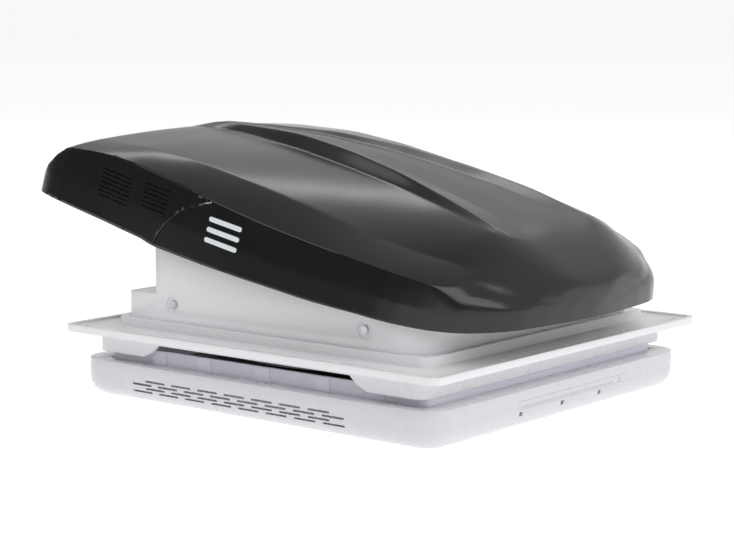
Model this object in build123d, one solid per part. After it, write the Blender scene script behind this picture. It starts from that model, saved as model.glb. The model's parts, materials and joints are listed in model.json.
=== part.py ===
from build123d import *
import os
from math import sin, cos, tan, radians, degrees, asin, atan, pi, hypot

os.makedirs("parts", exist_ok=True)

# ---------------------------------------------------------------- dimensions
# Frame: origin at the centre of the roof opening, on the roof plane, which is
# the underside of the flange. +X towards the low nose of the cover, -X
# towards its raised rear, +Z up out of the roof. All in millimetres.
FLANGE_HX, FLANGE_HY, FLANGE_T = 225.0, 213.0, 5.0      # half sizes, thickness
FLANGE_R = 10.0
RIM_W, RIM_H = 5.0, 1.6                                  # raised rim of the flange
SCREW_X, SCREW_Y = 214.0, 200.0                          # flange screw rows
FLANGE_HOLE_R = 2.25
PLINTH_HX, PLINTH_HY, PLINTH_TOP = 187.0, 178.0, 14.0
OPEN_HX, OPEN_HY = 172.0, 166.0                          # opening through the flange
COLLAR_HX, COLLAR_HY, COLLAR_D, COLLAR_T = 197.0, 194.0, 18.5, 4.0
COLLAR_GROOVE = 0.8
NOTCH_X, NOTCH_END, NOTCH_Z = 116.0, 138.0, -6.0

UP_X0, UP_X1, UP_HY, UP_T = -176.0, 181.0, 173.0, 3.0    # upstand outer size
UP_STEP_X, UP_STEP_Z = -142.0, 39.0
UP_REAR_Z, UP_FRONT_Z = 91.5, 60.0                       # height of the sloping rim
UP_R_REAR, UP_R_NOSE = 6.0, 32.0                         # plan corner radii
RIM_SLOPE = (UP_FRONT_Z - UP_REAR_Z) / (UP_X1 - UP_STEP_X)
UPSCREW_X, UPSCREW_Z = 116.0, 31.0

HINGE_X, HINGE_Z, HINGE_Y = 200.0, 45.0, 132.0           # lid hinge pivot
HINGE_PIN_R = 3.0
OPEN_DEG = 10.5                                          # lid opening angle, open at rest

SHAFT_X, SHAFT_Z, SHAFT_R = -110.0, 46.0, 5.0            # lift cross shaft
ARM_LEN, ARM_REST_DEG = 150.0, 22.9567
ROLLER_R = 5.0

FAN_IN_R, FAN_OUT_R, BLADE_R = 152.0, 155.0, 149.0
N_BLADES = 9

RING_HX, RING_HY, RING_TOP, RING_T = 192.0, 183.5, -13.0, 3.0
TRIM_HX, TRIM_HY, TRIM_TOP, TRIM_BOT = 215.0, 203.0, -26.0, -61.0
TRIM_R, TRIM_EDGE_R, TRIM_T = 28.0, 18.0, 3.0
WELL_HX, WELL_HY = 150.0, 145.0                          # ceiling opening of the trim

BUTTON_X = 170.0
BUTTON_Y = {"button_power": -44.0, "button_fan_up": -22.0, "button_fan_down": 0.0,
            "button_lid": 22.0, "button_light": 44.0}
BUTTON_R, BUTTON_TRAVEL = 6.0, 0.8

LID_T = 3.0                                              # lid wall
LID_PITCH = 1.0                                          # tail-up pitch of the closed lid


# ------------------------------------------------------------------ helpers
def save(shape, name):
    if isinstance(shape, (list, tuple)):
        shape = Compound(children=list(shape))
    export_step(shape, f"parts/{name}.step")
    print(name, round(shape.volume / 1000.0, 2), "cm3")


def box(x0, x1, y0, y1, z0, z1):
    return Pos((x0 + x1) / 2, (y0 + y1) / 2, (z0 + z1) / 2) * Box(x1 - x0, y1 - y0, z1 - z0)


def rbox(hx, hy, z0, z1, r):
    """Plate with rounded plan corners, centred on the Z axis."""
    return Pos(0, 0, z0) * extrude(RectangleRounded(2 * hx, 2 * hy, r), z1 - z0)


def cyl(x, y, z0, z1, r):
    return Pos(x, y, (z0 + z1) / 2) * Cylinder(r, z1 - z0)


def cyl_y(x, z, y0, y1, r):
    return Pos(x, (y0 + y1) / 2, z) * Rot(90, 0, 0) * Cylinder(r, y1 - y0)


def cyl_x(y, z, x0, x1, r):
    return Pos((x0 + x1) / 2, y, z) * Rot(0, 90, 0) * Cylinder(r, x1 - x0)


def prism_y(pts, y0, y1):
    """Side-view outline in X and Z, extruded along Y."""
    face = make_face(Polyline(*[(x, y0, z) for x, z in pts], close=True))
    return extrude(face, amount=(y1 - y0), dir=(0, 1, 0))


def lerp(table, x, col=1):
    if x <= table[0][0]:
        return table[0][col]
    for a, b in zip(table, table[1:]):
        if x <= b[0]:
            t = (x - a[0]) / (b[0] - a[0])
            return a[col] + t * (b[col] - a[col])
    return table[-1][col]


def rim_z(x):
    """Height of the sloping rim of the upstand at x."""
    return UP_REAR_Z + RIM_SLOPE * (x - UP_STEP_X)


def opened(shape):
    """Turn a shape of the closed lid about the hinge to the open rest pose."""
    ax = Axis((HINGE_X, 0, HINGE_Z), (0, 1, 0))
    return shape.rotate(ax, OPEN_DEG)


# ------------------------------------------------------------- roof flange
holes = [(x, s * SCREW_Y) for x in (-SCREW_X, -107.0, 0.0, 107.0, SCREW_X) for s in (-1, 1)]
holes += [(s * SCREW_X, y) for s in (-1, 1) for y in (-100.0, 0.0, 100.0)]

flange = rbox(FLANGE_HX, FLANGE_HY, 0, FLANGE_T + RIM_H, FLANGE_R)
flange -= rbox(FLANGE_HX - RIM_W, FLANGE_HY - RIM_W, FLANGE_T, 20, FLANGE_R - RIM_W)
flange += rbox(PLINTH_HX, PLINTH_HY, FLANGE_T - 1, PLINTH_TOP, 10)
flange -= rbox(OPEN_HX, OPEN_HY, -1, PLINTH_TOP + 1, 8)
for x in (-UPSCREW_X, UPSCREW_X):
    for s in (-1, 1):
        y0, y1 = sorted((s * 165.9, s * 169.6))
        flange += box(x - 12, x + 12, y0, y1, FLANGE_T, 36)
        flange -= cyl_y(x, UPSCREW_Z, min(s * 160, s * 172), max(s * 160, s * 172), 1.55)
for x, y in holes:
    flange -= cyl(x, y, -1, FLANGE_T + 3, FLANGE_HOLE_R)
    flange -= Pos(x, y, FLANGE_T - 0.9) * Cone(FLANGE_HOLE_R, 4.2, 1.8)
shroud_holes = [(sx * x, sy * y) for x, y in ((178.0, 80.0), (80.0, 172.0)) for sx in (-1, 1) for sy in (-1, 1)]
for x, y in shroud_holes:
    flange -= cyl(x, y, -1, 4, 1.55)
# groove in the underside that takes the top edge of the collar
groove = rbox(COLLAR_HX, COLLAR_HY, -1, COLLAR_GROOVE, 10)
groove -= rbox(COLLAR_HX - COLLAR_T, COLLAR_HY - COLLAR_T, -2, 2, 6)
flange -= groove
save(flange, "roof_flange")

# -------------------------------------------------------------- roof collar
collar = rbox(COLLAR_HX, COLLAR_HY, -COLLAR_D, COLLAR_GROOVE, 10)
collar -= rbox(COLLAR_HX - COLLAR_T, COLLAR_HY - COLLAR_T, -COLLAR_D - 1, 1, 6)
notch = prism_y([(-NOTCH_END, -COLLAR_D - 1), (-NOTCH_X - 8, -COLLAR_D + 5), (-NOTCH_X, NOTCH_Z),
                 (NOTCH_X, NOTCH_Z), (NOTCH_X + 8, -COLLAR_D + 5), (NOTCH_END, -COLLAR_D - 1)],
                -COLLAR_HY - 5, -COLLAR_HY + 10)
collar -= notch
save(collar, "roof_collar")

# ------------------------------------------------------------ upstand shell
outer = prism_y([(UP_X0, PLINTH_TOP), (UP_X1, PLINTH_TOP), (UP_X1, UP_FRONT_Z), (UP_STEP_X, UP_REAR_Z),
                 (UP_STEP_X, UP_STEP_Z), (UP_X0, UP_STEP_Z)], -UP_HY, UP_HY)


def round_corners(b, r_rear, r_nose):
    e = b.edges().filter_by(Axis.Z)
    b = fillet(e.filter_by(lambda q: q.center().X > 100), r_nose)
    e = b.edges().filter_by(Axis.Z).filter_by(lambda q: q.center().X < 0)
    return fillet(e, r_rear)


outer = round_corners(outer, UP_R_REAR, UP_R_NOSE)
t = UP_T
inner = prism_y([(UP_X0 + t, PLINTH_TOP - 2), (UP_X1 - t, PLINTH_TOP - 2), (UP_X1 - t, UP_FRONT_Z + 30),
                 (UP_STEP_X + t, UP_REAR_Z + 30), (UP_STEP_X + t, UP_STEP_Z - t), (UP_X0 + t, UP_STEP_Z - t)],
                -UP_HY + t, UP_HY - t)
inner = round_corners(inner, UP_R_REAR - t, UP_R_NOSE - t)
upstand = outer - inner
for x in (-UPSCREW_X, UPSCREW_X):
    for s in (-1, 1):
        a, b = sorted((s * 160, s * 180))
        upstand -= cyl_y(x, UPSCREW_Z, a, b, 1.8)
        a, b = sorted((s * (UP_HY - 0.8), s * 180))
        upstand -= cyl_y(x, UPSCREW_Z, a, b, 8.0)
save(upstand, "upstand_shell")

screws = []
for x in (-UPSCREW_X, UPSCREW_X):
    for s in (-1, 1):
        a, b = sorted((s * 164.5, s * (UP_HY - 0.7)))
        c, d = sorted((s * (UP_HY - 0.8), s * (UP_HY + 0.8)))
        screws.append(cyl_y(x, UPSCREW_Z, a, b, 1.5) + cyl_y(x, UPSCREW_Z, c, d, 4.0))
save(screws, "upstand_screws")

# rubber bulb seal on the sloping rim
def slab(lo, hi, x0=-400.0, x1=400.0):
    return prism_y([(x0, rim_z(x0) + lo), (x1, rim_z(x1) + lo), (x1, rim_z(x1) + hi), (x0, rim_z(x0) + hi)], -300, 300)


def tilt_ring(x0, x1, hy, r, r_nose, w, lo, hi):
    """Ring of width w, outline x0..x1 by +-hy, between two planes parallel to the rim."""
    a = round_corners(box(x0, x1, -hy, hy, 0, 200), r, r_nose)
    b = round_corners(box(x0 + w, x1 - w, -hy + w, hy - w, -5, 220), max(r - w, 1.5), max(r_nose - w, 1.5))
    return (a - b) & slab(lo, hi)


seal = tilt_ring(UP_STEP_X - 2, UP_X1 + 2, UP_HY + 2, UP_R_REAR + 2, UP_R_NOSE + 2, 7, 0, 5)
save(seal, "upstand_seal")

# ---------------------------------------------------------------- fan shroud
shroud = rbox(185, 181, -4, 0, 10) - cyl(0, 0, -10, 5, FAN_OUT_R - 0.5)
shroud += cyl(0, 0, -14, 30, FAN_OUT_R) - cyl(0, 0, -20, 40, FAN_IN_R)
TS = [(sx * 176.0, sy * 166.0) for sx in (-1, 1) for sy in (-1, 1)]
for x, y in TS:
    shroud += cyl(x, y, -22, -3.5, 5.0)
    shroud -= cyl(x, y, -30, -5.0, 2.05)
for x, y in shroud_holes:
    shroud -= cyl(x, y, -6, 1, 1.8)
save(shroud, "fan_shroud")
save([cyl(x, y, -4.0, 3.0, 1.5) + cyl(x, y, -6.2, -4.0, 3.2) for x, y in shroud_holes], "shroud_screws")

# motor bracket: hub ring and four arms inside the shroud
bracket = cyl(0, 0, -14, -10, 42) - cyl(0, 0, -20, 0, 6)
for a in (45, 135, 225, 315):
    bracket += Rot(0, 0, a) * box(38, FAN_IN_R + 0.5, -6, 6, -14, -10)
bracket &= cyl(0, 0, -30, 30, FAN_IN_R)
save(bracket, "motor_bracket")

motor = cyl(0, 0, -10, 20, 38) - cyl(0, 0, -7, 30, 4.05)
save(motor, "fan_motor")

# finger guard: concentric rings and spokes below the bracket
guard = cyl(0, 0, -17, -14, 156) - cyl(0, 0, -20, 0, 150)
for r in (40, 62, 84, 106, 128):
    guard += cyl(0, 0, -17, -14, r) - cyl(0, 0, -20, 0, r - 3)
for a in range(0, 360, 30):
    guard += Rot(0, 0, a) * box(38, 153, -1.5, 1.5, -17, -14)
save(guard, "finger_guard")

# ---------------------------------------------------------------------- fan
rotor = cyl(0, 0, -2, 30, 50) - cyl(0, 0, -5, 27, 44) - cyl(0, 0, 20, 40, 4.0)
blade = Rot(28, 0, 0) * box(0, 110, -30, 30, -1.2, 1.2)
for i in range(N_BLADES):
    rotor += Rot(0, 0, i * 360.0 / N_BLADES) * Pos(47.0, 0, 12.5) * blade
rotor &= cyl(0, 0, -40, 60, BLADE_R)
save(rotor, "fan_rotor")
save(cyl(0, 0, -6.5, 34, 4.0), "motor_shaft")
save(cyl(0, 0, 30, 32, 8) - cyl(0, 0, 29, 33, 4.0), "rotor_clip")

# ------------------------------------------------------------- lift mechanism
bearings = {}
for side, s in (("left", -1), ("right", 1)):
    a, b = sorted((s * 160, s * (UP_HY - UP_T)))
    blk = box(SHAFT_X - 11, SHAFT_X + 11, a, b, 37, 57)
    blk -= cyl_y(SHAFT_X, SHAFT_Z, min(s * 150, s * 165), max(s * 150, s * 165), SHAFT_R + 0.05)
    save(blk, f"shaft_bearing_{side}")

save(cyl_y(SHAFT_X, SHAFT_Z, -164.5, 164.5, SHAFT_R), "cross_shaft")

gearbox = box(UP_STEP_X + UP_T, -88, -142, -108, 34, 62)
gearbox -= cyl_y(SHAFT_X, SHAFT_Z, -150, -100, SHAFT_R + 0.4)
save(gearbox, "lift_gearbox")
save(cyl_y(-127.5, 50, -108, -56, 8.5), "lift_motor")

PIN_X = SHAFT_X + ARM_LEN * cos(radians(ARM_REST_DEG))
PIN_Z = SHAFT_Z + ARM_LEN * sin(radians(ARM_REST_DEG))
rollers = []
for side, s in (("left", -1), ("right", 1)):
    a, b = sorted((s * 146.5, s * 151.5))
    arm = cyl_y(SHAFT_X, SHAFT_Z, a, b, 11) + cyl_y(PIN_X, PIN_Z, a, b, 6.5)
    nx, nz = -sin(radians(ARM_REST_DEG)), cos(radians(ARM_REST_DEG))
    arm += prism_y([(SHAFT_X + 8 * nx, SHAFT_Z + 8 * nz), (SHAFT_X - 8 * nx, SHAFT_Z - 8 * nz),
                    (PIN_X - 6 * nx, PIN_Z - 6 * nz), (PIN_X + 6 * nx, PIN_Z + 6 * nz)], a, b)
    arm -= cyl_y(SHAFT_X, SHAFT_Z, a - 1, b + 1, SHAFT_R)
    arm -= cyl_y(PIN_X, PIN_Z, a - 1, b + 1, 3.0)
    save(arm, f"lift_arm_{side}")
    c, d = sorted((s * 145.5, s * 154.0))
    e, f = sorted((s * 154.0, s * 160.5))
    rollers.append(cyl_y(PIN_X, PIN_Z, c, d, 3.0) + cyl_y(PIN_X, PIN_Z, e, f, ROLLER_R))
save(rollers, "lift_rollers")

# ------------------------------------------------------------ lid hinges, base
for side, s in (("left", -1), ("right", 1)):
    y = s * HINGE_Y
    br = box(UP_X1, UP_X1 + 3, y - 14, y + 14, 37, 53)
    for dy in (-6, 6):
        br += box(UP_X1, HINGE_X, y + dy - 2, y + dy + 2, 38, 52)
        br += cyl_y(HINGE_X, HINGE_Z, y + dy - 2, y + dy + 2, 7)
        br -= cyl_y(HINGE_X, HINGE_Z, y + dy - 3, y + dy + 3, HINGE_PIN_R)
    save(br, f"hinge_bracket_{side}")
save([cyl_y(HINGE_X, HINGE_Z, s * HINGE_Y - 10, s * HINGE_Y + 10, HINGE_PIN_R) for s in (-1, 1)], "hinge_pins")

# -------------------------------------------------------------- spacer ring
ring = rbox(RING_HX, RING_HY, TRIM_BOT + TRIM_T, RING_TOP, 9)
ring -= rbox(RING_HX - RING_T, RING_HY - RING_T, TRIM_BOT, 0, 6)
RIBS_SIDE = (-124.0, -66.0, 6.0, 77.0, 139.0)
RIBS_END = (-123.0, -49.0, 15.0, 87.0, 156.0)
for x in RIBS_SIDE:
    ring += box(x - 9, x + 9, -RING_HY - 1.4, -RING_HY + 1, -50, RING_TOP)
    ring += box(x - 9, x + 9, RING_HY - 1, RING_HY + 1.4, -50, RING_TOP)
for y in RIBS_END:
    for s in (-1, 1):
        a, b = sorted((s * (RING_HX - RING_T - 1.2), s * (RING_HX - RING_T + 1)))
        ring += box(a, b, y - 9, y + 9, -50, RING_TOP)
save(ring, "spacer_ring")

strip = rbox(RING_HX - RING_T - 1.6, RING_HY - RING_T - 0.4, -46, -38, 5)
strip -= rbox(RING_HX - RING_T - 3.2, RING_HY - RING_T - 2.0, -47, -37, 4)
save(strip, "led_strip")

# -------------------------------------------------------------- ceiling trim
def soft_box(hx, hy, z0, z1, r, edge):
    b = rbox(hx, hy, z0, z1, r)
    return fillet(b.edges().group_by(Axis.Z)[0], edge)


trim = soft_box(TRIM_HX, TRIM_HY, TRIM_BOT, TRIM_TOP, TRIM_R, TRIM_EDGE_R)
cav = soft_box(TRIM_HX - TRIM_T, TRIM_HY - TRIM_T, TRIM_BOT + TRIM_T, TRIM_TOP - 2.0, TRIM_R - TRIM_T,
               TRIM_EDGE_R - TRIM_T)
cav -= rbox(WELL_HX + 3, WELL_HY + 3, TRIM_BOT - 5, -34, 8)          # wall round the ceiling opening
trim -= cav
trim -= rbox(RING_HX + 1.0, RING_HY + 2.4, -34.0, 0, 10)             # mouth for the spacer ring
trim -= rbox(WELL_HX, WELL_HY, -55, 0, 5)
trim -= rbox(WELL_HX - 6, WELL_HY - 6, TRIM_BOT - 5, -50, 4)
for x, y in TS:
    trim += cyl(x, y, TRIM_BOT + TRIM_T - 0.5, -52, 7)
    trim -= cyl(x, y, TRIM_BOT - 1, -56, 4.6)
    trim -= cyl(x, y, TRIM_BOT - 1, -50, 2.3)
# rows of outlet slots in the -Y face
ROWS = [(-39.5, 7, 0.0), (-43.0, 8, -17.0), (-46.5, 7, 0.0), (-50.0, 8, -17.0)]
SLOT_PITCH, SLOT_L, SLOT_H = 33.4, 25.0, 2.0
slots = []
for z, n, off in ROWS:
    for i in range(n):
        x = -112.0 + off + i * SLOT_PITCH
        slots.append(box(x - SLOT_L / 2, x + SLOT_L / 2, -TRIM_HY - 5, -TRIM_HY + TRIM_T + 6, z - SLOT_H / 2, z + SLOT_H / 2))
trim -= slots
# pocket for the side service cover and its clip windows
COV_Y0, COV_Y1, COV_Z0, COV_Z1 = -79.0, 99.0, -42.5, -35.5
trim -= box(TRIM_HX - 1.5, TRIM_HX + 5, COV_Y0 - 0.2, COV_Y1 + 0.2, COV_Z0 - 0.2, COV_Z1 + 0.2)
for y in (-75.0, -9.0, 53.0):
    trim -= box(TRIM_HX - 12, TRIM_HX + 5, y - 2.5, y + 2.5, -48.6, -44.6)
# button window in the underside
trim -= box(BUTTON_X - 11, BUTTON_X + 11, -56, 56, TRIM_BOT - 1, TRIM_BOT + 1.0)
for y in BUTTON_Y.values():
    trim -= cyl(BUTTON_X, y, TRIM_BOT - 1, TRIM_BOT + TRIM_T + 1, BUTTON_R + 0.3)
save(trim, "ceiling_trim")
save([cyl(x, y, -56, -8, 2.0) + cyl(x, y, -58.5, -56, 4.0) for x, y in TS], "trim_screws")

cover = box(TRIM_HX - 1.4, TRIM_HX, COV_Y0, COV_Y1, COV_Z0, COV_Z1)
cover -= box(TRIM_HX - 0.6, TRIM_HX + 1, -75, 76, -41.0, -40.0)
cover -= Pos(TRIM_HX + 3.0, 88.5, -38.2) * Sphere(4.8)
save(cover, "side_service_cover")

for name, y in BUTTON_Y.items():
    b = cyl(BUTTON_X, y, TRIM_BOT + 0.7, -57, BUTTON_R) + cyl(BUTTON_X, y, TRIM_BOT + TRIM_T + 0.3, -56.2, BUTTON_R + 1.6)
    save(b, name)

save(box(157.5, 184, -58, 58, -54.6, -53.0), "control_board")
save(box(150.5, 172, -156, -132, -18, -4) - box(149, 154, -152, -136, -15, -8), "power_connector")

screen_frame = rbox(WELL_HX - 0.4, WELL_HY - 0.4, -55, -47, 4.5) - rbox(WELL_HX - 12, WELL_HY - 12, -60, -40, 4)
screen_frame -= rbox(WELL_HX - 9, WELL_HY - 9, -51.5, -50.9, 4)
save(screen_frame, "screen_frame")
save(rbox(WELL_HX - 9, WELL_HY - 9, -51.5, -50.9, 4), "insect_screen")

# ----------------------------------------------------------------------- lid
# Tables of the lid in its own pitch: the lower edge level. Each row is a
# station along X, from the rear (-X) to the nose (+X).
Z_BOT = [(-340, 28.5), (-192, 28.5), (-137, 27), (-123, 24.5), (-58, 25.3), (-24, 26.3), (76, 30), (121, 33),
         (159, 33.6), (187, 34), (205, 35.8), (217, 37.6), (232, 40.6), (243, 43.2), (249, 44.6)]
Y_BOT = [(-324, 30), (-321, 70), (-317, 105), (-313, 135), (-309, 156), (-303, 171), (-296, 178), (-284, 182),
         (-264, 185.5), (-244, 188), (-214, 191), (-170, 195), (-110, 198), (-50, 199), (10, 199), (70, 198),
         (110, 195.5), (140, 191), (159, 185), (175, 177), (187, 169.5), (205, 156.5), (217, 144), (226, 132),
         (232, 122), (238, 106), (243, 76), (247, 42), (249, 14)]
Z_CR2 = [(-340, 70), (-290, 78), (-256, 83), (-216, 89), (-172, 91.5), (-123, 89.5), (-75, 85), (0, 79.5), (60, 78),
         (105, 77.5), (154, 75.5), (180, 71.5), (210, 70), (235, 66), (249, 62)]
Y_CR2 = [(-340, 178), (-256, 180), (-216, 185), (-172, 188), (-75, 191), (60, 190), (105, 188.5), (130, 186),
         (154, 180), (180, 167), (196, 155), (210, 140), (222, 120), (249, 10)]
Z_CR1 = [(-340, 82), (-249, 91.5), (-183, 101), (-114, 104), (-49, 102.5), (12, 99.5), (74, 95), (127, 89.5),
         (152, 86.5), (182, 84), (205, 82.5), (225, 79), (249, 72)]
Y_CR1 = [(-340, 140), (-249, 148), (-183, 153), (-49, 156), (12, 156), (74, 154.5), (100, 152.5), (127, 147.5), (152, 136),
         (166, 127), (182, 112), (200, 92), (220, 66), (249, 8)]
Z_FOOT = [(-340, 84), (-290, 92), (-260, 97), (-230, 102.5), (-170, 108.4), (-92, 115.1), (-17, 117.6), (54, 117.8),
          (121, 115.4), (179, 109.5), (205, 101), (225, 90), (240, 80), (249, 73)]
Z_CREST = [(-340, 86), (-290, 95), (-262, 101), (-244, 105.3), (-187, 115.4), (-106, 127), (-29, 130.2), (42, 128.1),
           (113, 121.5), (173, 111.6), (197, 103.5), (215, 96), (230, 88), (240, 81), (249, 73)]
Z_INNER = [(-340, 86), (-290, 95), (-262, 101), (-244, 104.5), (-187, 113.5), (-106, 123), (-29, 125.6), (25, 124.1),
           (92, 120.2), (154, 113.8), (180, 109), (197, 103), (215, 95.8), (230, 88), (240, 81), (249, 73)]
CREST_Y = [(-340, 3), (-244, 4), (-187, 10), (-106, 27), (-29, 42), (42, 54), (113, 67), (173, 72), (249, 74)]
# falling profiles of the rear face and of the nose face
REAR = [(-330, 12), (-308, 26), (-304, 41.5), (-296, 56.5), (-283.5, 69.5), (-264, 84), (-244.5, 95), (-226, 104),
        (-205, 114), (-180, 126), (-150, 145)]
NOSE = [(150, 140), (180, 120), (197, 109), (212, 99.5), (224, 92.5), (234, 86), (240, 80.5), (244.5, 72), (247, 60), (249.4, 44)]
REAR_BOW, REAR_Y = 16.0, 175.0


def nose_bow(y):
    """How far the nose outline lies behind its tip at y."""
    y = abs(y)
    tab = [(0, 0.0), (14, 0.3), (40, 2.0), (74, 6.0), (106, 11.0), (122, 17.0), (132, 23.0), (144, 32.0), (156.5, 44.0),
           (169.5, 62.0), (177, 74.0), (185, 90.0), (191, 109.0), (200, 180.0)]
    return lerp(tab, y)


def lid_z(x, y, z):
    """Height z at x, y kept under the falling rear and nose profiles."""
    z = min(z, lerp(REAR, x + REAR_BOW * (1.0 - (min(abs(y), REAR_Y) / REAR_Y) ** 2)))
    return min(z, lerp(NOSE, x + nose_bow(y)))


def section(x, off):
    """Half outline of the lid section at x, as (y, z) from the bottom edge to the middle."""
    yb, zb = lerp(Y_BOT, x), lerp(Z_BOT, x)
    y2 = min(lerp(Y_CR2, x), yb * 0.962)
    y1 = min(lerp(Y_CR1, x), yb * 0.86)
    y3 = 0.5 * (y2 + y1) + 2.0
    yc = min(lerp(CREST_Y, x), 0.5 * yb)
    yf = min(yc + 10.0 + 8.0 * (x < -200), 0.62 * yb)
    yi = 0.62 * yc
    ym = 0.5 * (y1 + yf)
    z2, z1, zf = lerp(Z_CR2, x), lerp(Z_CR1, x), lerp(Z_FOOT, x)
    pts = [(yb, zb), (yb * 0.985, zb + 0.45 * (z2 - zb)), (y2, z2), (y3, 0.5 * (z2 + z1) + 1.6), (y1, z1),
           (ym, 0.5 * (z1 + zf) + 1.4), (yf, zf), (yc, lerp(Z_CREST, x)), (yi, lerp(Z_INNER, x)),
           (0.0, lerp(Z_INNER, x) + 0.6)]
    pts = [list(p) for p in pts]
    for i in range(len(pts) - 2, -1, -1):
        pts[i][0] = max(pts[i][0], pts[i + 1][0] + 0.8)
    out = []
    for i, (y, z) in enumerate(pts):
        if i:
            z = max(lid_z(x, y, z), zb + 1.0 + 0.7 * i)
        out.append([y, z])
    if off:
        for i, p in enumerate(out):
            p[0] = max(p[0] - off, 0.0) if i < 4 else max(p[0] - (off * 0.7 if i == 4 else 0.2), 0.0)
            p[1] -= off if i > 1 else 0.0
        out[0][1] -= 14.0
        out[-1][0] = 0.0
        for i in range(1, len(out)):
            out[i][1] = max(out[i][1], out[0][1] + 3.0 + 0.7 * i)
    for i in range(len(out) - 2, -1, -1):
        out[i][0] = max(out[i][0], out[i + 1][0] + 0.8)
    return [tuple(p) for p in out]


STATIONS = [-324, -321, -317, -313, -309, -303, -296, -284, -264, -244, -214, -170, -110, -50, 10, 70, 110, 140, 159,
            175, 187, 205, 217, 226, 232, 238, 243, 247, 249]


def lid_solid(xs, off):
    faces = []
    for x in xs:
        half = section(x, off)
        pts = [(x, -y, z) for y, z in half] + [(x, y, z) for y, z in reversed(half[:-1])]
        faces.append(make_face(Polyline(*pts, close=True)))
    return pitched(loft(faces, ruled=True))


def pitched(shape):
    return shape.rotate(Axis((HINGE_X, 0, HINGE_Z), (0, 1, 0)), LID_PITCH)


lid_outer = lid_solid(STATIONS, 0.0)
inner_st = [x for x in STATIONS if -320 < x < 246]
lid_inner = lid_solid(inner_st, LID_T)
print("lid outer", lid_outer.volume, lid_outer.is_valid, "inner", lid_inner.volume, lid_inner.is_valid)
shell = lid_outer - lid_inner

# line of the rear cowl joint: an arc up from the lower edge, then back along the crease
SEAM = [(-121.6, 10), (-121.2, 26), (-115, 39), (-108, 50), (-100, 60), (-88, 70), (-72, 80), (-58, 84.2),
        (-75, 85), (-123, 89.5), (-172, 91.5), (-216, 89), (-256, 83), (-290, 71), (-345, 52), (-345, 10)]
cowl_zone = pitched(prism_y(SEAM, -260, 260))
cowl = shell & cowl_zone
hood = shell - cowl_zone
# two groups of fine louvres on each side of the cowl
for x0, z0 in ((-186.0, 51.0), (-129.0, 57.0)):
    for i in range(7):
        z = z0 + i * 4.2
        for s in (-1, 1):
            a, b = sorted((s * 174, s * 210))
            cowl -= pitched(box(x0 - 22, x0 + 22, a, b, z - 0.7, z + 0.7))

# inner frame of the lid: ring above the seal, trimmed to the inside of the lid
GAP = 5.4
frame_ring = tilt_ring(-150, 208, 174, 10, 44, 26, GAP, GAP + 2.6)
frame_ring &= lid_inner
posts = []
lid_posts_xy = [(x, s * 161.0) for x in (-125.0, -25.0, 130.0) for s in (-1, 1)]
for x, y in lid_posts_xy:
    post = cyl(x, y, rim_z(x) + GAP + 2.6, 160, 5.5) & lid_inner
    post = post & slab(GAP + 2.6, 200)
    post -= cyl(x, y, 0, rim_z(x) + GAP + 9.0, 1.55)
    hood += post
    frame_ring -= cyl(x, y, 0, 200, 1.8)
save(opened(hood), "lid_shell")
save(opened(cowl), "lid_rear_cowl")
save(opened(frame_ring), "lid_inner_frame")
lid_screws = []
for x, y in lid_posts_xy:
    z = rim_z(x) + GAP
    lid_screws.append(opened(cyl(x, y, z - 0.7, z + 6.5, 1.5) + cyl(x, y, z - 2.6, z - 0.45, 3.0)))
save(lid_screws, "lid_screws")

# rails that the lift rollers run in, under the inner frame
RAIL_X0, RAIL_X1, CH = 4.0, 58.0, 12.4
for side, s in (("left", -1), ("right", 1)):
    def bar(y0, y1, lo, hi):
        a, b = sorted((s * y0, s * y1))
        return prism_y([(RAIL_X0, rim_z(RAIL_X0) + lo), (RAIL_X1, rim_z(RAIL_X1) + lo),
                        (RAIL_X1, rim_z(RAIL_X1) + hi), (RAIL_X0, rim_z(RAIL_X0) + hi)], a, b)
    top = GAP
    rail = bar(153.2, 164.0, top - 2.0, top) + bar(161.6, 164.0, top - 4.0 - CH, top) + bar(153.2, 164.0, top - 4.0 - CH, top - 2.0 - CH)
    save(opened(rail), f"lid_rail_{side}")

# hinge arms of the lid, turning on the hinge pins
for side, s in (("left", -1), ("right", 1)):
    y = s * HINGE_Y
    zt = rim_z(188) + GAP
    arm = cyl_y(HINGE_X, HINGE_Z, y - 3.6, y + 3.6, 6.5)
    arm += prism_y([(HINGE_X - 6.0, HINGE_Z), (HINGE_X + 6.3, HINGE_Z), (HINGE_X + 6.3, rim_z(HINGE_X + 6.3) + GAP),
                    (HINGE_X - 12.0, rim_z(HINGE_X - 12.0) + GAP), (HINGE_X - 12.0, HINGE_Z + 11)], y - 3.6, y + 3.6)
    arm += prism_y([(HINGE_X - 12.0, rim_z(HINGE_X - 12.0) + GAP - 2.4), (HINGE_X + 6.3, rim_z(HINGE_X + 6.3) + GAP - 2.4),
                    (HINGE_X + 6.3, rim_z(HINGE_X + 6.3) + GAP), (HINGE_X - 12.0, rim_z(HINGE_X - 12.0) + GAP)], y - 12, y + 12)
    arm -= cyl_y(HINGE_X, HINGE_Z, y - 6, y + 6, HINGE_PIN_R + 0.06)
    save(opened(arm), f"lid_hinge_arm_{side}")

# plain three-bar airflow mark set on each side of the hood
for side, s in (("left", -1), ("right", 1)):
    bars = []
    for i in range(3):
        z = 49.0 + 9.5 * i
        a, b = sorted((s * 190, s * 215))
        bar = box(-58, -18, a, b, z - 2.2, z + 2.2)
        bars.append(fillet(bar.edges().filter_by(Axis.Y), 2.1))
    skin = [pitched(b) & (lid_outer.moved(Location((0, s * 0.5, 0))) - lid_outer) for b in bars]
    save([opened(p) for p in skin], f"side_mark_{side}")
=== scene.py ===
import bpy, bmesh, math, json
import numpy as np
from mathutils import Vector, Matrix


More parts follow.
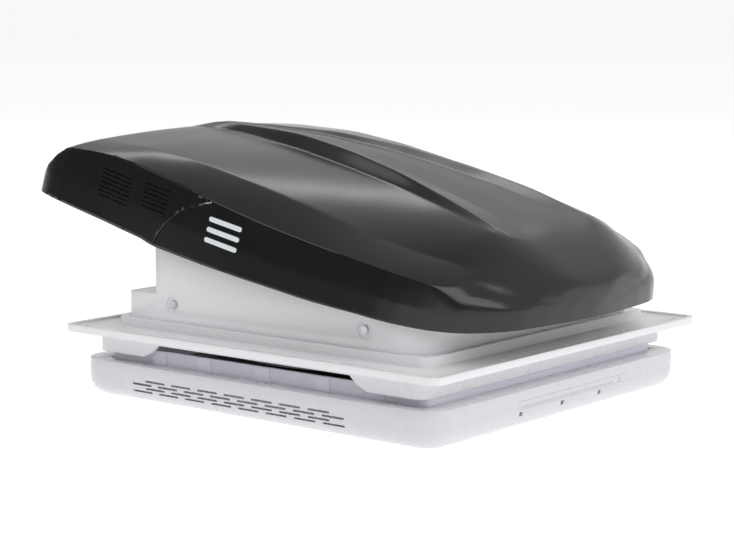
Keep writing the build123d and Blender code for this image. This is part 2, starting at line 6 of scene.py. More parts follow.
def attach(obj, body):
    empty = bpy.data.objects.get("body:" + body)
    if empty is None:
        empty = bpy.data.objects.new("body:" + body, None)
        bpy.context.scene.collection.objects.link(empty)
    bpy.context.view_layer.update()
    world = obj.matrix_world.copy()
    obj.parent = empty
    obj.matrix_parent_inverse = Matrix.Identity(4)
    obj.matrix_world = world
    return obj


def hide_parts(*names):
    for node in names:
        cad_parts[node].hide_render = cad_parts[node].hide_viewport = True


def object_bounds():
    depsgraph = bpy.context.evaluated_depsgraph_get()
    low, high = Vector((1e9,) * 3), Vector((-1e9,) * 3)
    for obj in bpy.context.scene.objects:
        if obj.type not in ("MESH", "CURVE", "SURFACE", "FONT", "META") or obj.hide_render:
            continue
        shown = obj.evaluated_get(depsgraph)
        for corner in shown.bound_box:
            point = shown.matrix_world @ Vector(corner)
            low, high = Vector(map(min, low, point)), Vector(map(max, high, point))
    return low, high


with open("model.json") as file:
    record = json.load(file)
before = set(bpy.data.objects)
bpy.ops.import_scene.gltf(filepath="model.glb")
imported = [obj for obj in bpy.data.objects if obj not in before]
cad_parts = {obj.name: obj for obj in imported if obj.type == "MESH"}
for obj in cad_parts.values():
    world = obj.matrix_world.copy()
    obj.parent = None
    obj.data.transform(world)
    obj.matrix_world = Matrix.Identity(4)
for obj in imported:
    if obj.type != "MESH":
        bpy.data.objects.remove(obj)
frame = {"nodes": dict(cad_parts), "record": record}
N = frame["nodes"]
CAD_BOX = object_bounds()
MM = 0.001

# ------------------------------------------------------------------ materials


def new_mat(name):
    m = bpy.data.materials.new(name)
    m.use_nodes = True
    nt = m.node_tree
    return m, nt, nt.nodes["Principled BSDF"]


def noise(nt, scale, detail=4.0, rough=0.55, coord="Object"):
    tc = nt.nodes.new("ShaderNodeTexCoord")
    n = nt.nodes.new("ShaderNodeTexNoise")
    n.inputs["Scale"].default_value = scale
    n.inputs["Detail"].default_value = detail
    n.inputs["Roughness"].default_value = rough
    nt.links.new(tc.outputs[coord], n.inputs["Vector"])
    return n


def ramp(nt, src, stops):
    r = nt.nodes.new("ShaderNodeValToRGB")
    e = r.color_ramp.elements
    while len(e) < len(stops):
        e.new(0.5)
    for k, (p, c) in enumerate(stops):
        e[k].position = p
        e[k].color = (c, c, c, 1) if isinstance(c, (int, float)) else (*c, 1)
    nt.links.new(src, r.inputs["Fac"])
    return r


def bump(nt, bsdf, src, strength, dist, chain=None):
    b = nt.nodes.new("ShaderNodeBump")
    b.inputs["Strength"].default_value = strength
    b.inputs["Distance"].default_value = dist
    nt.links.new(src, b.inputs["Height"])
    if chain:
        nt.links.new(chain, b.inputs["Normal"])
    nt.links.new(b.outputs["Normal"], bsdf.inputs["Normal"])
    return b.outputs["Normal"]


def plastic(name, col, var=0.03, rough=(0.25, 0.35), orange=0.04, fine=0.03, coat=0.0, spec=0.5, fine_scale=900.0,
            blotch=9.0, subsurf=0.0):
    """Moulded plastic: slight colour drift, uneven gloss, orange peel and a fine texture."""
    m, nt, b = new_mat(name)
    big = noise(nt, blotch, 3.0)
    mix = ramp(nt, big.outputs["Fac"], [(0.3, tuple(max(c * (1 - var), 0) for c in col)), (0.7, tuple(min(c * (1 + var), 1) for c in col))])
    nt.links.new(mix.outputs["Color"], b.inputs["Base Color"])
    g = noise(nt, 26.0, 5.0, 0.6)
    r = ramp(nt, g.outputs["Fac"], [(0.3, rough[0]), (0.7, rough[1])])
    nt.links.new(r.outputs["Color"], b.inputs["Roughness"])
    n1 = noise(nt, 120.0, 2.0)
    c = bump(nt, b, n1.outputs["Fac"], orange, 0.0006)
    n2 = noise(nt, fine_scale, 2.0)
    bump(nt, b, n2.outputs["Fac"], fine, 0.0002, c)
    b.inputs["Coat Weight"].default_value = coat
    b.inputs["Coat Roughness"].default_value = 0.06
    b.inputs["Specular IOR Level"].default_value = spec
    if subsurf:
        b.inputs["Subsurface Weight"].default_value = subsurf
        b.inputs["Subsurface Radius"].default_value = (0.006, 0.006, 0.007)
        b.inputs["Subsurface Scale"].default_value = 1.0
    return m


def metal(name, col, rough=(0.25, 0.4), brushed=True):
    m, nt, b = new_mat(name)
    b.inputs["Metallic"].default_value = 1.0
    big = noise(nt, 40.0, 4.0)
    mix = ramp(nt, big.outputs["Fac"], [(0.3, tuple(c * 0.86 for c in col)), (0.7, tuple(min(c * 1.08, 1) for c in col))])
    nt.links.new(mix.outputs["Color"], b.inputs["Base Color"])
    tc = nt.nodes.new("ShaderNodeTexCoord")
    mp = nt.nodes.new("ShaderNodeMapping")
    mp.inputs["Scale"].default_value = (40, 900, 900) if brushed else (300, 300, 300)
    n = nt.nodes.new("ShaderNodeTexNoise")
    n.inputs["Scale"].default_value = 3.0
    nt.links.new(tc.outputs["Object"], mp.inputs["Vector"])
    nt.links.new(mp.outputs["Vector"], n.inputs["Vector"])
    r = ramp(nt, n.outputs["Fac"], [(0.3, rough[0]), (0.7, rough[1])])
    nt.links.new(r.outputs["Color"], b.inputs["Roughness"])
    bump(nt, b, n.outputs["Fac"], 0.15, 0.0002)
    return m


def rubber(name, col):
    m, nt, b = new_mat(name)
    n = noise(nt, 700.0, 4.0)
    mix = ramp(nt, n.outputs["Fac"], [(0.3, tuple(c * 0.8 for c in col)), (0.7, tuple(c * 1.3 for c in col))])
    nt.links.new(mix.outputs["Color"], b.inputs["Base Color"])
    r = ramp(nt, n.outputs["Fac"], [(0.2, 0.62), (0.8, 0.8)])
    nt.links.new(r.outputs["Color"], b.inputs["Roughness"])
    bump(nt, b, n.outputs["Fac"], 0.3, 0.0003)
    return m


MAT = {
    "lid_black": plastic("lid_black", (0.0082, 0.0092, 0.0094), 0.05, (0.19, 0.215), 0.006, 0.0015, coat=0.0, spec=0.55, blotch=5.0),
    "cowl_black": plastic("cowl_black", (0.0085, 0.0105, 0.0100), 0.05, (0.17, 0.20), 0.006, 0.0015, coat=0.0, spec=0.55),
    "white_shell": plastic("white_shell", (0.87, 0.865, 0.89), 0.006, (0.23, 0.27), 0.003, 0.002, coat=0.1),
    "white_collar": plastic("white_collar", (0.82, 0.815, 0.845), 0.006, (0.25, 0.29), 0.003, 0.002, coat=0.1),
    # painted shade: the trim's white is set darker than the other white mouldings to offset the strong lamp light
    # falling on it
    "white_trim": plastic("white_trim", (0.71, 0.705, 0.735), 0.006, (0.25, 0.29), 0.003, 0.002, coat=0.1),
    "frosted_ring": plastic("frosted_ring", (0.80, 0.79, 0.89), 0.02, (0.30, 0.40), 0.01, 0.01, coat=0.1, subsurf=0.2),
    "led_strip": plastic("led_strip", (0.85, 0.84, 0.74), 0.02, (0.4, 0.5)),
    "mark_white": plastic("mark_white", (0.80, 0.83, 0.86), 0.02, (0.2, 0.3), coat=0.3),
    "inner_black": plastic("inner_black", (0.028, 0.028, 0.031), 0.12, (0.38, 0.5), 0.05, 0.08),
    "seal_rubber": rubber("seal_rubber", (0.022, 0.022, 0.023)),
    "fan_plastic": plastic("fan_plastic", (0.045, 0.048, 0.052), 0.1, (0.35, 0.45), 0.05, 0.06),
    "guard_plastic": plastic("guard_plastic", (0.66, 0.66, 0.67), 0.03, (0.35, 0.45)),
    "motor_metal": metal("motor_metal", (0.16, 0.16, 0.17), (0.35, 0.5), False),
    "zinc_steel": metal("zinc_steel", (0.56, 0.57, 0.60), (0.22, 0.38)),
    "galvanised": metal("galvanised", (0.48, 0.49, 0.50), (0.35, 0.55), False),
    "board_green": plastic("board_green", (0.02, 0.14, 0.06), 0.2, (0.35, 0.5)),
    "button_grey": plastic("button_grey", (0.50, 0.51, 0.53), 0.03, (0.4, 0.5)),
    "screen_frame": plastic("screen_frame", (0.72, 0.72, 0.73), 0.02, (0.35, 0.45)),
}


def mesh_screen():
    """Woven insect screen: fine square weave from two crossed waves."""
    m, nt, b = new_mat("screen_mesh")
    tc = nt.nodes.new("ShaderNodeTexCoord")
    outs = []
    for ax in ("X", "Y"):
        w = nt.nodes.new("ShaderNodeTexWave")
        w.wave_type = "BANDS"
        w.bands_direction = ax
        w.inputs["Scale"].default_value = 200.0
        w.inputs["Distortion"].default_value = 0.0
        nt.links.new(tc.outputs["Object"], w.inputs["Vector"])
        outs.append(w.outputs["Fac"])
    mx = nt.nodes.new("ShaderNodeMath")
    mx.operation = "MAXIMUM"
    nt.links.new(outs[0], mx.inputs[0])
    nt.links.new(outs[1], mx.inputs[1])
    c = ramp(nt, mx.outputs[0], [(0.55, (0.012, 0.012, 0.013)), (0.8, (0.16, 0.16, 0.17))])
    nt.links.new(c.outputs["Color"], b.inputs["Base Color"])
    r = ramp(nt, mx.outputs[0], [(0.3, 0.9), (0.8, 0.5)])
    nt.links.new(r.outputs["Color"], b.inputs["Roughness"])
    bump(nt, b, mx.outputs[0], 0.6, 0.0004)
    return m


MAT["screen_mesh"] = mesh_screen()
# painted glow: a faint emission of its own makes the clear ring glow as if the light strip shone through it, though no
# lamp is there
_fr = MAT["frosted_ring"].node_tree.nodes["Principled BSDF"]
_fr.inputs["Emission Color"].default_value = (0.93, 0.92, 1.0, 1)
_fr.inputs["Emission Strength"].default_value = 0.05


def dress(obj, mat):
    obj.data.materials.clear()
    obj.data.materials.append(mat)


slot_of = {s["node"]: s["material_slot"] for s in frame["record"]["subparts"]}
for name, o in N.items():
    dress(o, MAT[slot_of[name]])

# ------------------------------------------------------------------- camera
cam_d = bpy.data.cameras.new("camera")
cam = bpy.data.objects.new("camera", cam_d)
bpy.context.scene.collection.objects.link(cam)
AZ, EL, DIST, TX, TY, FPX = math.radians(38.98), math.radians(7.94), 1.94494, -0.016254, 0.049482, 1993.57
right = Vector((math.cos(AZ), math.sin(AZ), 0))
back = Vector((math.sin(AZ) * math.cos(EL), -math.cos(AZ) * math.cos(EL), math.sin(EL)))
up = back.cross(right)
pos = right * TX + up * TY + back * DIST
cam.matrix_world = Matrix(((right.x, up.x, back.x, pos.x), (right.y, up.y, back.y, pos.y), (right.z, up.z, back.z, pos.z), (0, 0, 0, 1)))
cam_d.sensor_width = 36.0
cam_d.lens = FPX / 734.0 * 36.0
cam_d.clip_end = 100
bpy.context.scene.camera = cam

# ------------------------------------------------------------ mesh utilities


def obj_from(name, verts, faces, mat, smooth=True):
    me = bpy.data.meshes.new(name)
    me.from_pydata([tuple(v) for v in verts], [], [tuple(f) for f in faces])
    me.validate()
    me.update()
    o = bpy.data.objects.new(name, me)
    bpy.context.scene.collection.objects.link(o)
    if smooth:
        me.polygons.foreach_set("use_smooth", [True] * len(me.polygons))
    me.materials.append(mat)
    return o


def apply_all(o):
    dg = bpy.context.evaluated_depsgraph_get()
    me = bpy.data.meshes.new_from_object(o.evaluated_get(dg))
    o.modifiers.clear()
    o.data = me
    return o


def shade(o, deg=35.0):
    """Smooth shading with sharp edges above an angle, stored in the mesh."""
    bm = bmesh.new()
    bm.from_mesh(o.data)
    lim = math.radians(deg)
    for f in bm.faces:
        f.smooth = True
    for e in bm.edges:
        e.smooth = not (len(e.link_faces) == 2 and e.calc_face_angle(0.0) > lim)
    bm.to_mesh(o.data)
    bm.free()
    return o


def softened(node, width=0.8, segs=2, angle=32.0, mat=None):
    """A CAD node's shape with rounded edges, as a new piece that stands for it."""
    src = N[node]
    me = src.data.copy()
    o = bpy.data.objects.new(node + "_visual", me)
    bpy.context.scene.collection.objects.link(o)
    bm = bmesh.new()
    bm.from_mesh(me)
    bmesh.ops.remove_doubles(bm, verts=bm.verts, dist=2e-6)
    bmesh.ops.dissolve_limit(bm, angle_limit=math.radians(0.6), verts=bm.verts, edges=bm.edges)
    bm.to_mesh(me)
    bm.free()
    b = o.modifiers.new("bevel", "BEVEL")
    b.width = width * MM
    b.segments = segs
    b.limit_method = "ANGLE"
    b.angle_limit = math.radians(angle)
    b.use_clamp_overlap = True
    b.harden_normals = False
    apply_all(o)
    shade(o, 40)
    dress(o, mat or MAT[slot_of[node]])
    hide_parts(node)
    body = [b_ for b_, ns in frame["record"]["behaviour"]["bodies"].items() if node in ns][0]
    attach(o, body)
    return o


# ------------------------------------------------------------- lid surface
HINGE = (200.0, 45.0)
LID_TURN = 11.5
Z_BOT = [(-340, 28.5), (-192, 28.5), (-137, 27), (-123, 24.5), (-58, 25.3), (-24, 26.3), (76, 30), (121, 33),
         (159, 33.6), (187, 34), (205, 35.8), (217, 37.6), (232, 40.6), (243, 43.2), (249, 44.6)]
Y_BOT = [(-325, 0), (-324, 30), (-321, 70), (-317, 105), (-313, 135), (-309, 156), (-303, 171), (-296, 178), (-284, 182),
         (-264, 185.5), (-244, 188), (-214, 191), (-170, 195), (-110, 198), (-50, 199), (10, 199), (70, 198),
         (110, 195.5), (140, 191), (159, 185), (175, 177), (187, 169.5), (205, 156.5), (217, 144), (226, 132),
         (232, 122), (238, 106), (243, 76), (247, 42), (249, 14), (249.3, 0)]
Z_CR2 = [(-340, 70), (-290, 78), (-256, 83), (-216, 89), (-172, 91.5), (-123, 89.5), (-75, 85), (0, 79.5), (60, 78),
         (105, 77.5), (154, 75.5), (180, 71.5), (210, 70), (235, 66), (249, 62)]
Y_CR2 = [(-340, 178), (-256, 180), (-216, 185), (-172, 188), (-75, 191), (60, 190), (105, 188.5), (130, 186),
         (154, 180), (180, 167), (196, 155), (210, 140), (222, 120), (249, 10)]
Z_CR1 = [(-340, 82), (-249, 91.5), (-183, 101), (-114, 104), (-49, 102.5), (12, 99.5), (74, 95), (110, 91.8), (130, 90.2),
         (156, 88), (172, 87), (190, 86.8), (225, 84), (249, 80)]
Y_CR1 = [(-340, 140), (-249, 148), (-183, 153), (-49, 156), (12, 156), (74, 154.5), (100, 153), (130, 149.5), (156, 141.5),
         (172, 134), (190, 122), (220, 90), (249, 40)]
Z_FOOT = [(-340, 84), (-290, 92), (-260, 97), (-230, 102.5), (-170, 108.4), (-92, 115.1), (-17, 117.6), (54, 117.8),
          (121, 115.4), (179, 109.5), (205, 101), (225, 90), (240, 80), (249, 73)]
Z_CREST = [(-340, 86), (-290, 95), (-262, 101), (-244, 105.3), (-187, 115.4), (-106, 127), (-29, 130.2), (42, 128.1),
           (113, 121.5), (173, 111.6), (197, 103.5), (215, 96), (230, 88), (240, 81), (249, 73)]
Z_INNER = [(-340, 86), (-290, 95), (-262, 101), (-244, 104.5), (-187, 113.5), (-106, 123), (-29, 125.6), (25, 124.1),
           (92, 120.2), (154, 113.8), (180, 109), (197, 103), (215, 95.8), (230, 88), (240, 81), (249, 73)]
CREST_Y = [(-340, 3), (-244, 4), (-187, 10), (-106, 27), (-29, 42), (42, 54), (113, 67), (173, 72), (249, 74)]
REAR = [(-330, 12), (-308, 26), (-304, 41.5), (-296, 56.5), (-283.5, 69.5), (-264, 84), (-244.5, 95), (-226, 104),
        (-205, 114), (-180, 126), (-150, 145)]
NOSE = [(150, 140), (180, 120), (197, 109), (212, 99.5), (224, 92.5), (234, 86), (240, 80.5), (244.5, 72), (247, 60), (249.4, 44)]
BOW = [(0, 0.0), (14, 0.3), (40, 2.0), (74, 6.0), (106, 11.0), (122, 17.0), (132, 23.0), (144, 32.0), (156.5, 44.0),
       (169.5, 62.0), (177, 74.0), (185, 90.0), (191, 109.0), (200, 180.0)]
GRID = np.arange(-345.0, 262.0, 1.0)


def gauss(a, sigma):
    if sigma <= 0:
        return a
    r = int(4 * sigma) + 1
    k = np.exp(-0.5 * (np.arange(-r, r + 1) / sigma) ** 2)
    k /= k.sum()
    p = np.concatenate([2 * a[0] - a[1:r + 1][::-1], a, 2 * a[-1] - a[-r - 1:-1][::-1]])
    return np.convolve(p, k, "valid")


def table(t, sigma=12.0):
    x, y = zip(*t)
    v = gauss(np.interp(GRID, x, y), sigma)
    return lambda q: np.interp(q, GRID, v)


T_ZB = table(Z_BOT, 5)
T_YB = table(Y_BOT[1:-1], 3)
T_Z2, T_Y2, T_Z1, T_Y1 = table(Z_CR2), table(Y_CR2, 8), table(Z_CR1), table(Y_CR1, 9)
T_ZF, T_ZC, T_ZI, T_YC = table(Z_FOOT), table(Z_CREST), table(Z_INNER), table(CREST_Y)
rx, rz = zip(*REAR)
nx_, nz_ = zip(*NOSE)
bx_, bd_ = zip(*BOW)


def smooth01(a, lo, hi):
    t = np.clip((a - lo) / (hi - lo), 0, 1)
    return t * t * (3 - 2 * t)


def smin(a, b, k):
    h = np.clip(0.5 + 0.5 * (b - a) / k, 0, 1)
    return b + (a - b) * h - k * h * (1 - h)


def features(x, yb):
    """Cross-section feature points at one station: offsets from the middle and heights."""
    zb = float(T_ZB(x))
    y2 = min(float(T_Y2(x)), yb * 0.962)
    y1 = min(float(T_Y1(x)), yb * 0.86)
    yc = min(float(T_YC(x)), 0.5 * yb)
    yf = min(yc + 10.0 + 8.0 * float(np.clip((-195 - x) / 40, 0, 1)), 0.62 * yb)
    z2, z1, zf, zc, zi = (float(t(x)) for t in (T_Z2, T_Z1, T_ZF, T_ZC, T_ZI))
    ys = [0, 0.62 * yc, yc, yf, y1, y2, yb * 0.985, yb]
    zs = [zi + 0.6, zi, zc, zf, z1, z2, zb + 0.45 * (z2 - zb), zb]
    for i in range(1, 8):
        ys[i] = max(ys[i], ys[i - 1] + 1e-4)
    return ys, zs, zb, z2, zi


X_NOSE = 172.0


def station(x, yb):
    """Offsets and heights across one half of the lid at station x."""
    if x <= X_NOSE:
        return profile(x, yb)
    # the nose carries the last full cross-section on, scaled to the outline, its creases fading
    y0, z0 = BASE
    zb0, zb, yb0 = z0[-1], float(T_ZB(x)), y0[-1]
    g = (z0 - zb0) / (z0[0] - zb0)
    v = y0 / yb0
    zc = float(smin(T_ZI(x) + 0.6, NOSE_F(x), 6.0))
    sig = 0.11 * float(smooth01(x, X_NOSE + 2, 206))
    taper = np.clip((1 - v) / 0.16, 0, 1)
    out, tot = np.zeros_like(v), 0.0
    for t in np.linspace(-2, 2, 17):
        w_ = math.exp(-0.5 * t * t)
        out += w_ * np.interp(np.abs(v + t * sig * taper), v, g)
        tot += w_
    out /= tot
    out = out / out[0]
    out[-1] = 0.0
    return v * yb, zb + out * (zc - zb)


def profile(x, yb):
    ys, zs, zb, z2, zi = features(x, yb)
    counts = [8, 10, 8, 20, 16, 10, 5]
    crown = [0, 0, 0, 1.1 + 1.2 * float(smooth01(x, 60, 172)), 0.9, 0.5, 0]
    y, fy, fz = [0.0], [0.0], [zs[0]]
    for (a_, b_), (c_, d_), n, h_ in zip(zip(ys, ys[1:]), zip(zs, zs[1:]), counts, crown):
        for i in range(1, n + 1):
            y.append(a_ + (b_ - a_) * 0.5 * (1 - math.cos(math.pi * i / n)))
        for i in range(1, 17):
            t = i / 16
            fy.append(a_ + (b_ - a_) * t)
            fz.append(c_ + (d_ - c_) * t + 4 * h_ * t * (1 - t))
    y = np.array(y)
    ys, zs = fy, fz
    edge = np.clip((yb - y - 9.0) / 12.0, 0.0, 1.0)
    z = np.zeros_like(y)
    for d, w_ in ((-1.6, 0.12), (-0.8, 0.22), (0, 0.32), (0.8, 0.22), (1.6, 0.12)):
        z += w_ * np.interp(np.abs(y + d * edge), ys, zs)
    rb = x + 16.0 * (1.0 - (np.minimum(y, 175.0) / 175.0) ** 2)
    z = smin(z, np.interp(rb, rx, rz), 3.5)
    z = np.maximum(z, zb)
    z[-1] = zb
    return y, z


_nx = np.linspace(150, 249.6, 400)
_nz = gauss(np.interp(_nx, nx_, nz_), 6)


def NOSE_F(q):
    return np.interp(q, _nx, _nz)


BASE = profile(X_NOSE, float(T_YB(X_NOSE)))


def half_outline(step=2.6):
    pts = [(x, -y) for x, y in Y_BOT] + [(x, y) for x, y in reversed(Y_BOT[1:-1])]
    p = np.array(pts + [pts[0]], float)
    seg = np.hypot(*np.diff(p, axis=0).T)
    s_ = np.concatenate([[0], np.cumsum(seg)])
    n = int(s_[-1])
    q = np.linspace(0, s_[-1], n, endpoint=False)
    X, Y = np.interp(q, s_, p[:, 0]), np.interp(q, s_, p[:, 1])
    r = 24
    k = np.exp(-0.5 * (np.arange(-r, r + 1) / 3.5) ** 2)
    k /= k.sum()
    X = np.convolve(np.concatenate([X[-r:], X, X[:r]]), k, "valid")
    Y = np.convolve(np.concatenate([Y[-r:], Y, Y[:r]]), k, "valid")
    keep = Y < -0.05
    X, Y = X[keep], -Y[keep]
    o_ = np.argsort(X, kind="stable")
    X, Y = X[o_], Y[o_]
    X = np.concatenate([[X[0] - 0.05], X, [X[-1] + 0.05]])
    Y = np.concatenate([[0], Y, [0]])
    X = np.where(X > 200, 200 + (X - 200) * 0.955, X)
    X = np.where(X < -250, -250 + (X + 250) * 1.05, X)
    s2 = np.concatenate([[0], np.cumsum(np.hypot(np.diff(X), np.diff(Y)))])
    m = int(s2[-1] / step)
    t = np.linspace(0, s2[-1], m)
    return np.interp(t, s2, X), np.interp(t, s2, Y)


def turn(P, deg=LID_TURN):
    """Lid tables to the open rest pose, in millimetres."""
    a_ = math.radians(deg)
    x, z = P[:, 0] - HINGE[0], P[:, 2] - HINGE[1]
    return np.stack([x * math.cos(a_) + z * math.sin(a_) + HINGE[0], P[:, 1], -x * math.sin(a_) + z * math.cos(a_) + HINGE[1]], 1)


def lid_surface():
    X, Y = half_outline()
    rows = []
    for x, yb in zip(X[1:-1], Y[1:-1]):
        y, z = station(x, yb)
        row = [(x, -b_, c_) for b_, c_ in zip(y[::-1], z[::-1])] + [(x, b_, c_) for b_, c_ in zip(y[1:], z[1:])]
        rows.append(row)
    R, C = len(rows), len(rows[0])
    V = [p for r_ in rows for p in r_]
    F = [(i * C + j, (i + 1) * C + j, (i + 1) * C + j + 1, i * C + j + 1) for i in range(R - 1) for j in range(C - 1)]
    for ends, x, flip in ((0, X[0], False), (R - 1, X[-1], True)):
        V.append((x, 0.0, float(T_ZB(x))))
        c = len(V) - 1
        for j in range(C - 1):
            f_ = (ends * C + j, ends * C + j + 1, c)
            F.append(f_[::-1] if not flip else f_)
    return np.array(V), F


SEAM = [(-121.6, 0), (-121.2, 26), (-118.4, 33), (-115, 39.5), (-111, 46), (-106.3, 52.5), (-100.5, 59), (-94, 64.8), (-86, 70.6),
        (-77, 75.6), (-68, 79.6), (-58, 83.0), (-75, 84.6), (-98, 87.4), (-123, 89.2), (-150, 90.8), (-172, 91.2), (-195, 90.4), (-216, 88.6),
        (-236, 86), (-256, 82), (-274, 76.5), (-290, 70), (-310, 62), (-360, 44), (-360, 0)]


def seam_distance(P):
    """Signed distance, in the side view, from the cowl outline: negative inside the cowl."""
    S = np.array(SEAM, float)
    E = np.roll(S, -1, axis=0)
    best = np.full(len(P), 1e9)
    inside = np.zeros(len(P), bool)
    px, pz = P[:, 0], P[:, 2]
    for (ax, az), (bx, bz) in zip(S, E):
        dx, dz = bx - ax, bz - az
        t = np.clip(((px - ax) * dx + (pz - az) * dz) / (dx * dx + dz * dz), 0, 1)
        best = np.minimum(best, np.hypot(px - ax - t * dx, pz - az - t * dz))
        if abs(dz) > 1e-9:
            cross = ((az > pz) != (bz > pz)) & (px < (bx - ax) * (pz - az) / dz + ax)
            inside ^= cross
    return np.where(inside, -best, best)


LV, LF = lid_surface()
LD = seam_distance(LV)


def lid_part(name, level, keep_outside, mat):
    """One side of the seam as a surface, cut exactly along the given distance from the seam."""
    me = bpy.data.meshes.new(name)
    bm = bmesh.new()
    P = turn(LV) * MM
    vs = [bm.verts.new(p) for p in P]
    sd = {v: d for v, d in zip(vs, LD)}
    for f_ in LF:
        bm.faces.new([vs[i] for i in f_])
    bmesh.ops.triangulate(bm, faces=bm.faces)
    marked = set()
    for e in list(bm.edges):
        a_, b_ = e.verts
        da, db = sd[a_] - level, sd[b_] - level
        if da * db < 0:
            _, nv = bmesh.utils.edge_split(e, a_, da / (da - db))
            sd[nv] = level
            marked.add(nv)
    for f_ in list(bm.faces):
        m_ = [v for v in f_.verts if v in marked]
        if len(m_) == 2:
            try:
                bmesh.utils.face_split(f_, m_[0], m_[1])
            except ValueError:
                pass
    kill = []
    for f_ in bm.faces:
        d = [sd[v] - level for v in f_.verts if v not in marked]
        m_ = sum(d) / max(len(d), 1)
        if (m_ > 0) != keep_outside:
            kill.append(f_)
    bmesh.ops.delete(bm, geom=kill, context="FACES")
    bmesh.ops.delete(bm, geom=[v for v in bm.verts if not v.link_faces], context="VERTS")
    bmesh.ops.remove_doubles(bm, verts=bm.verts, dist=0.00004)
    bmesh.ops.recalc_face_normals(bm, faces=bm.faces)
    if sum(f_.normal.z * f_.calc_area() for f_ in bm.faces) < 0:
        bmesh.ops.reverse_faces(bm, faces=bm.faces)
    bm.to_mesh(me)
    bm.free()
    o = bpy.data.objects.new(name, me)
    bpy.context.scene.collection.objects.link(o)
    me.materials.append(mat)
    so = o.modifiers.new("wall", "SOLIDIFY")
    so.thickness = 2.8 * MM
    so.offset = -1.0
    so.use_even_offset = False
    so.use_quality_normals = True
    apply_all(o)
    bv = o.modifiers.new("edge", "BEVEL")
    bv.width = 0.45 * MM
    bv.segments = 2
    bv.limit_method = "ANGLE"
    bv.angle_limit = math.radians(60)
    bv.use_clamp_overlap = True
    apply_all(o)
    shade(o, 50)
    return o


lid = lid_part("lid_shell_visual", 0.30, True, MAT["lid_black"])
cowl = lid_part("rear_cowl_visual", -0.30, False, MAT["cowl_black"])

def box_faces(i):
    return [(i, i + 1, i + 3, i + 2), (i + 4, i + 6, i + 7, i + 5), (i, i + 4, i + 5, i + 1), (i + 2, i + 3, i + 7, i + 6),
            (i, i + 2, i + 6, i + 4), (i + 1, i + 5, i + 7, i + 3)]


# louvre slots of the rear cowl
lv, lf = [], []
for cx, z0 in ((-186.0, 51.0), (-129.0, 57.0)):
    for k in range(7):
        zc = z0 + 4.2 * k
        if cx > -150 and zc > 78:
            continue
        half_w = 22.0 if cx < -150 else 17.0
        for sy_ in (-1, 1):
            lf += box_faces(len(lv))
            ya, yb_ = sorted((sy_ * 160.0, sy_ * 215.0))
            lv += [(x_, y_, z_) for x_ in (cx - half_w, cx + half_w) for y_ in (ya, yb_) for z_ in (zc - 0.5, zc + 0.5)]
cut = obj_from("louvre_cutter", turn(np.array(lv)) * MM, lf, MAT["inner_black"], smooth=False)
bm = bmesh.new()
bm.from_mesh(cut.data)
bmesh.ops.recalc_face_normals(bm, faces=bm.faces)
bm.to_mesh(cut.data)
bm.free()
bo = cowl.modifiers.new("louvres", "BOOLEAN")
bo.operation = "DIFFERENCE"
bo.object = cut
bo.solver = "EXACT"
n_before = len(cowl.data.polygons)
apply_all(cowl)
print("cowl faces", n_before, len(cowl.data.polygons))
bpy.data.objects.remove(cut)

# woven mesh that closes the louvres from inside: a dark sheet put there as painted shade, so the slots read dark like
# the shaded inside of the lid instead of showing light through
cen = np.array([LV[list(f_)].mean(axis=0) for f_ in LF])
pick = [f_ for f_, c_ in zip(LF, cen) if ((-213 < c_[0] < -160 and 46 < c_[2] < 80) or (-150 < c_[0] < -108 and 52 < c_[2] < 82)) and abs(c_[1]) > 150]
used = sorted({i for f_ in pick for i in f_})
remap = {i: k for k, i in enumerate(used)}
vm = LV[used].copy()
vm[:, 1] -= np.sign(vm[:, 1]) * 3.4
louvre_shade_sheet = obj_from("louvre_shade_sheet_mesh", turn(vm) * MM, [tuple(remap[i] for i in f_) for f_ in pick], MAT["screen_mesh"])
so = louvre_shade_sheet.modifiers.new("wall", "SOLIDIFY")
so.thickness = 0.4 * MM
so.offset = 0.0
apply_all(louvre_shade_sheet)
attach(louvre_shade_sheet, "lid")
shade(cowl, 50)
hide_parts("lid_shell")
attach(lid, "lid")
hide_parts("lid_rear_cowl")
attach(cowl, "lid")

# white mouldings with rounded edges
for node, w in (("roof_flange", 0.7), ("roof_collar", 0.8), ("upstand_shell", 0.9), ("ceiling_trim", 0.5), ("spacer_ring", 0.7)):
    softened(node, w)

# --------------------------------------------------------------- floor, light
FLOOR_Z = CAD_BOX[0][2] - 0.0002
# a pale sweep: flat floor that curves up into a backdrop far behind the object
prof = [(-30.0, 0.0), (9.0, 0.0)] + [(9.0 + 1.4 * math.sin(t), 1.4 * (1 - math.cos(t))) for t in np.linspace(0.1, math.pi / 2, 14)]
view = Vector((-back.x, -back.y, 0)).normalized()
side_v = Vector((view.y, -view.x, 0))
fv, ff = [], []
for d_, h_ in prof:
    for q_ in (-30.0, 30.0):
        p_ = view * d_ + side_v * q_
        fv.append((p_.x, p_.y, FLOOR_Z + h_))
for i in range(len(prof) - 1):
    ff.append((2 * i, 2 * i + 1, 2 * i + 3, 2 * i + 2))
floor_mat = plastic("floor_mat", (0.50, 0.50, 0.50), 0.004, (0.75, 0.85), 0.0, 0.0, spec=0.1)
fb = floor_mat.node_tree.nodes["Principled BSDF"]
fb.inputs["Emission Color"].default_value = (1, 1, 1, 1)
fb.inputs["Emission Strength"].default_value = 0.72
floor_mat.cycles.emission_sampling = "NONE"
fl = obj_from("floor", fv, ff, floor_mat)

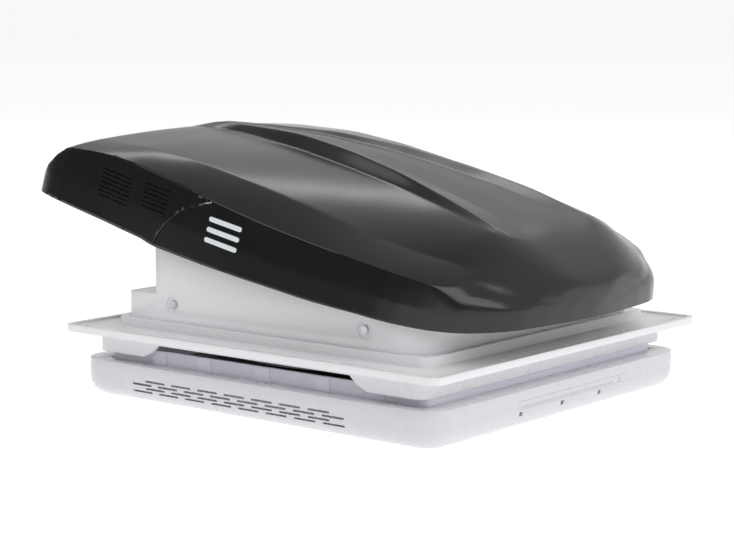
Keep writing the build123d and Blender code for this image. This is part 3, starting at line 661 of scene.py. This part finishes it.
w = bpy.data.worlds.new("studio")
bpy.context.scene.world = w
w.use_nodes = True
nt = w.node_tree
bg = nt.nodes["Background"]
tc = nt.nodes.new("ShaderNodeTexCoord")
# height term
sep = nt.nodes.new("ShaderNodeSeparateXYZ")
nt.links.new(tc.outputs["Generated"], sep.inputs[0])
hi = ramp(nt, sep.outputs["Z"], [(0.0, 0.02), (0.40, 0.03), (0.70, 0.08), (1.0, 0.16)])
# side term: the half behind the object is bright at every height
dot = nt.nodes.new("ShaderNodeVectorMath")
dot.operation = "DOT_PRODUCT"
dot.inputs[1].default_value = (0.30, 0.954, 0.0)
nt.links.new(tc.outputs["Generated"], dot.inputs[0])
half = nt.nodes.new("ShaderNodeMath")
half.operation = "MULTIPLY_ADD"
half.inputs[1].default_value = 0.5
half.inputs[2].default_value = 0.5
nt.links.new(dot.outputs["Value"], half.inputs[0])
far = ramp(nt, half.outputs[0], [(0.03, 0.02), (0.13, 0.035), (0.25, 0.14), (0.5, 0.36), (0.75, 0.64), (1.0, 0.70)])
mx = nt.nodes.new("ShaderNodeMath")
mx.operation = "MAXIMUM"
nt.links.new(hi.outputs["Color"], mx.inputs[0])
nt.links.new(far.outputs["Color"], mx.inputs[1])
nt.links.new(mx.outputs[0], bg.inputs["Color"])
bg.inputs["Strength"].default_value = 1.0


def area(name, loc, target, size, power, color=(1, 1, 1), shape="RECTANGLE", sy=None):
    d = bpy.data.lights.new(name, "AREA")
    d.shape = shape
    d.size = size
    d.size_y = sy or size
    d.energy = power
    d.color = color
    o = bpy.data.objects.new(name, d)
    bpy.context.scene.collection.objects.link(o)
    o.location = loc
    o.rotation_euler = (Vector(target) - Vector(loc)).to_track_quat("-Z", "Y").to_euler()
    return o


area("left", (-1.9, -2.9, 3.4), (0, 0, 0.0), 4.4, 100)
area("right", (3.6, -1.2, 3.0), (0.1, 0, 0.0), 3.4, 74)
strip = view * 3.0
area("strip", (strip.x, strip.y, 2.7), (0, 0, 0.1), 3.4, 11, sy=0.35)
bpy.context.scene.view_settings.view_transform = "Standard"
